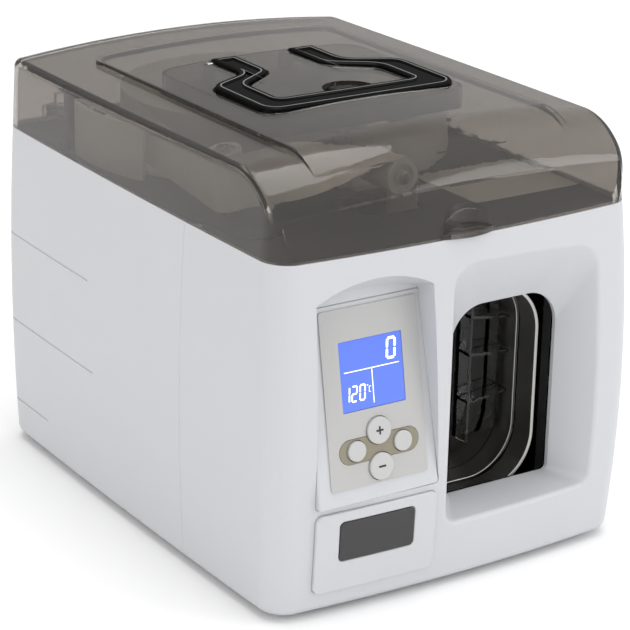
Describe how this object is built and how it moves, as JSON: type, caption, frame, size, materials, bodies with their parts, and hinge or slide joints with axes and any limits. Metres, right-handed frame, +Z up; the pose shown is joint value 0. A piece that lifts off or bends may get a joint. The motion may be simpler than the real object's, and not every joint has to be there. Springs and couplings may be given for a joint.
{
  "type": "banknote strapping machine",
  "caption": "Desktop banknote bander with a hinged smoked lid over a paper tape reel, a folding carrying handle, a front bundle pocket and a leaning control panel.",
  "frame": {"origin": "centre of the machine's plan on the table under its feet", "axes": "+X to the right for someone facing the front, front towards -Y, +Z up"},
  "size_m": [0.2348, 0.3126, 0.246],
  "materials": {
    "housing_plastic": "fine moulded texture, light grey",
    "faceplate_grey": "silver grey printed film",
    "inlay_khaki": "khaki film",
    "key_grey": "moulded light grey",
    "display_blue": "lit display window",
    "nameplate_dark": "bare dark plate",
    "smoked_lid": "smoked clear plastic, polished",
    "handle_black": "polished moulded black",
    "pin_steel": "bright turned steel",
    "deck_dark": "dark moulded",
    "guide_dark": "dark moulded",
    "roller_white": "white moulded",
    "paper_white": "plain coated paper",
    "core_card": "plain card",
    "sheet_steel": "zinc grey sheet",
    "black_steel": "blackened sheet",
    "rail_steel": "polished strip",
    "head_metal": "machined",
    "heater_brass": "machined",
    "blade_steel": "ground",
    "clear_guide": "clear moulded plastic",
    "motor_case": "dark coated can",
    "gear_plastic": "natural moulded",
    "roller_rubber": "ground rubber",
    "feet_rubber": "moulded rubber",
    "board_green": "green laminate",
    "electric_black": "black moulded"
  },
  "bodies": {
    "frame": {"front_housing": "housing_plastic", "rear_housing": "housing_plastic", "control_console": "housing_plastic", "lower_cover": "housing_plastic", "console_faceplate": "faceplate_grey", "key_inlay": "inlay_khaki", "lcd_display": "display_blue", "blank_nameplate": "nameplate_dark", "lid_hinge_pins": "pin_steel", "roller_pins": "pin_steel", "deck_screws": "pin_steel", "top_deck": "deck_dark", "corner_guide": "guide_dark", "roll_sensor": "guide_dark", "tape_guide_wall": "roller_white", "paper_tape": "paper_white", "base_plate": "sheet_steel", "power_supply": "sheet_steel", "reel_spindle": "sheet_steel", "loop_front_plate": "black_steel", "mechanism_plate": "black_steel", "note_stop": "black_steel", "feed_frame": "black_steel", "front_track_rail": "rail_steel", "rear_track_rail": "rail_steel", "head_guide_block": "head_metal", "anvil_plate": "head_metal", "clear_tape_guide": "clear_guide", "press_motor": "motor_case", "feed_motor": "motor_case", "rubber_feet": "feet_rubber", "console_pcb": "board_green", "main_board": "board_green", "power_inlet": "electric_black", "switch_bezel": "electric_black"},
    "lid_body": {"lid": "smoked_lid", "handle_pins": "pin_steel"},
    "handle": {"carry_handle": "handle_black"},
    "reel": {"reel_plate": "roller_white", "paper_roll": "paper_white", "roll_core": "core_card", "roll_clamp_knob": "roller_white"},
    "guide_roller_body": {"guide_roller": "roller_white"},
    "corner_roller_body": {"corner_roller": "roller_white"},
    "tension_roller_body": {"tension_roller": "roller_white"},
    "plus_key": {"plus_button": "key_grey"},
    "minus_key": {"minus_button": "key_grey"},
    "reverse_key": {"reverse_button": "key_grey"},
    "feed_key": {"feed_button": "key_grey"},
    "press_block": {"press_carriage": "head_metal", "heater_plate": "heater_brass", "cutter_blade": "blade_steel"},
    "press_drive": {"press_pinion": "head_metal"},
    "feed_drive": {"feed_roller": "roller_rubber", "feed_shaft": "pin_steel", "feed_gear": "gear_plastic"},
    "feed_pinion": {"motor_pinion": "gear_plastic"},
    "pinch": {"pinch_roller": "roller_rubber", "pinch_shaft": "pin_steel"},
    "rocker": {"power_switch": "electric_black"}
  },
  "joints": [
    {"name": "lid_hinge", "type": "hinge", "parent": "frame", "child": "lid_body", "pos_m": [0, 0.15283, 0.1985], "axis": [-1, 0, 0], "range_deg": [0, 95]},
    {"name": "handle_hinge", "type": "hinge", "parent": "lid_body", "child": "handle", "pos_m": [0, 0.04929, 0.24225], "axis": [-1, 0, 0], "range_deg": [0, 95]},
    {"name": "reel_spin", "type": "hinge", "parent": "frame", "child": "reel", "pos_m": [-0.009, 0.05454, 0.1978], "axis": [0, 0, 1], "continuous": true},
    {"name": "guide_roller_spin", "type": "hinge", "parent": "frame", "child": "guide_roller_body", "pos_m": [-0.0005, -0.07516, 0.21], "axis": [0, 1, 0], "continuous": true},
    {"name": "corner_roller_spin", "type": "hinge", "parent": "frame", "child": "corner_roller_body", "pos_m": [-0.088, -0.05847, 0.214], "axis": [-0.2079, 0, 0.9781], "continuous": true},
    {"name": "tension_roller_spin", "type": "hinge", "parent": "frame", "child": "tension_roller_body", "pos_m": [-0.0093, -0.04532, 0.208], "axis": [0, 0, 1], "continuous": true},
    {"name": "plus_press", "type": "slide", "parent": "frame", "child": "plus_key", "axis": [0, 0.9836, -0.1805], "range_m": [0, 0.0009], "stiffness_N_per_m": 600},
    {"name": "minus_press", "type": "slide", "parent": "frame", "child": "minus_key", "axis": [0, 0.9836, -0.1805], "range_m": [0, 0.0009], "stiffness_N_per_m": 600},
    {"name": "reverse_press", "type": "slide", "parent": "frame", "child": "reverse_key", "axis": [0, 0.9836, -0.1805], "range_m": [0, 0.0009], "stiffness_N_per_m": 600},
    {"name": "feed_press", "type": "slide", "parent": "frame", "child": "feed_key", "axis": [0, 0.9836, -0.1805], "range_m": [0, 0.0009], "stiffness_N_per_m": 600},
    {"name": "press_pinion_turn", "type": "hinge", "parent": "frame", "child": "press_drive", "pos_m": [-0.019, -0.11966, 0.0778], "axis": [0, 1, 0], "range_deg": [0, 36]},
    {"name": "press_slide", "type": "slide", "parent": "frame", "child": "press_block", "axis": [1, 0, 0], "range_m": [0, 0.005]},
    {"name": "feed_spin", "type": "hinge", "parent": "frame", "child": "feed_drive", "pos_m": [0, -0.09366, 0.165], "axis": [0, 1, 0], "continuous": true},
    {"name": "motor_pinion_spin", "type": "hinge", "parent": "frame", "child": "feed_pinion", "pos_m": [-0.024, -0.05767, 0.165], "axis": [0, 1, 0], "continuous": true},
    {"name": "pinch_spin", "type": "hinge", "parent": "frame", "child": "pinch", "pos_m": [0.0169, -0.09366, 0.165], "axis": [0, 1, 0], "continuous": true},
    {"name": "switch_rock", "type": "hinge", "parent": "frame", "child": "rocker", "pos_m": [0.026, 0.14858, 0.042], "axis": [1, 0, 0], "range_deg": [0, 14]}
  ],
  "couplings": [
    {"joint": "press_pinion_turn", "follows": "press_slide", "rad_per_m": 125},
    {"joint": "motor_pinion_spin", "follows": "feed_spin", "ratio": -3},
    {"joint": "pinch_spin", "follows": "feed_spin", "ratio": -1.2857}
  ]
}
